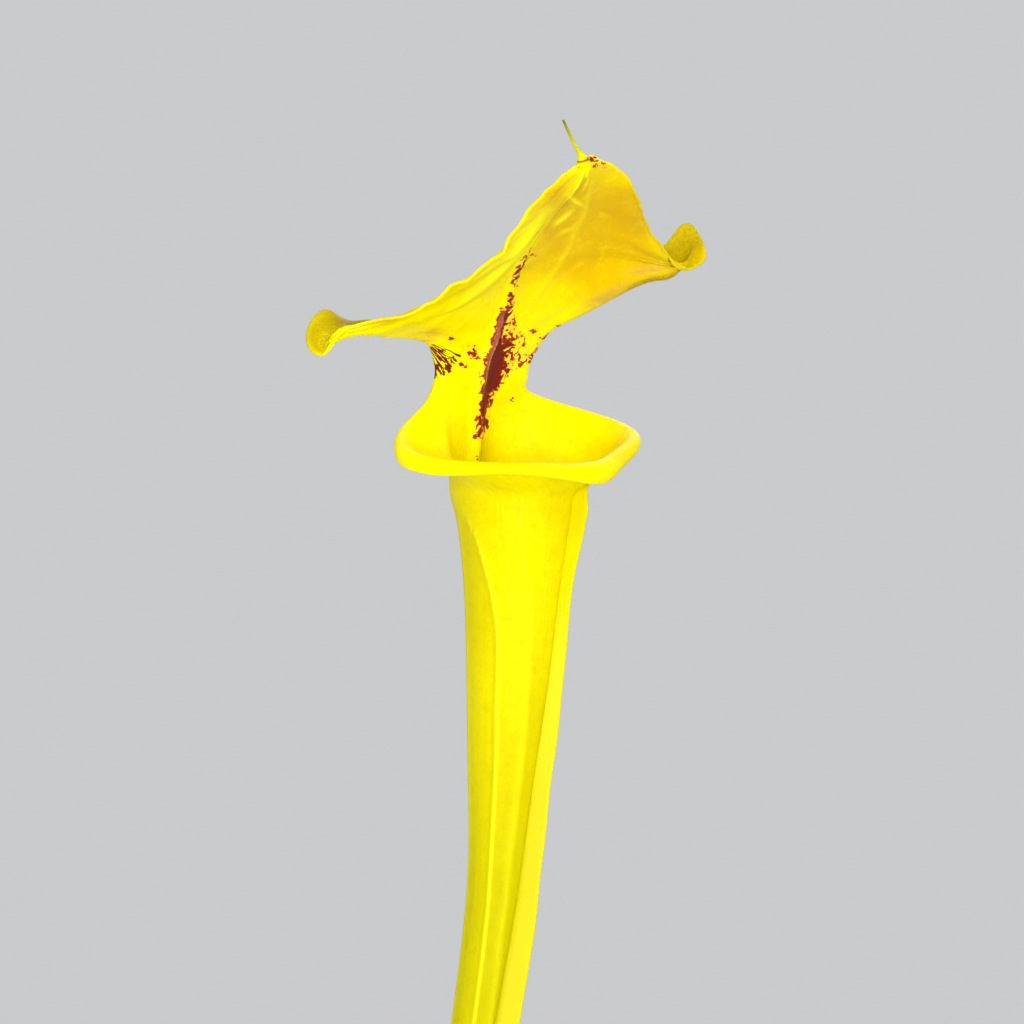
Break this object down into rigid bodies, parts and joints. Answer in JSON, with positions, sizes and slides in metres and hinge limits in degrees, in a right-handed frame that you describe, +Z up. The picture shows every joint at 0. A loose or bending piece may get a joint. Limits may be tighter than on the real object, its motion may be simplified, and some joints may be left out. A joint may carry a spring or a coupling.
{
  "type": "potted yellow pitcher plant",
  "caption": "Potted carnivorous plant: a tall yellow trumpet-shaped pitcher leaf with a rolled lip, narrow neck and spreading lid, with small leaves at its foot in a plain plastic pot of soil.",
  "frame": {"origin": "middle of the pot's flat underside", "axes": "+Z up along the pot's axis; +X to the right in the picture; +Y away from the camera"},
  "size_m": [0.1657, 0.1418, 0.5986],
  "materials": {
    "pot_plastic": "matt moulded plastic",
    "soil": "loose moist peat mix, rough",
    "stem": "dull brown bark and bud scales",
    "pitcher_leaf": "waxy satin leaf, bright yellow",
    "young_leaf": "waxy satin leaf, yellow-green",
    "sword_leaf": "satin leaf, green"
  },
  "bodies": {
    "root": {"pot": "pot_plastic", "soil": "soil", "creeping_stem": "stem", "pitcher": "pitcher_leaf", "young_pitcher": "young_leaf", "sword_leaf_left": "sword_leaf", "sword_leaf_back": "sword_leaf", "sword_leaf_front": "sword_leaf"}
  },
  "joints": []
}
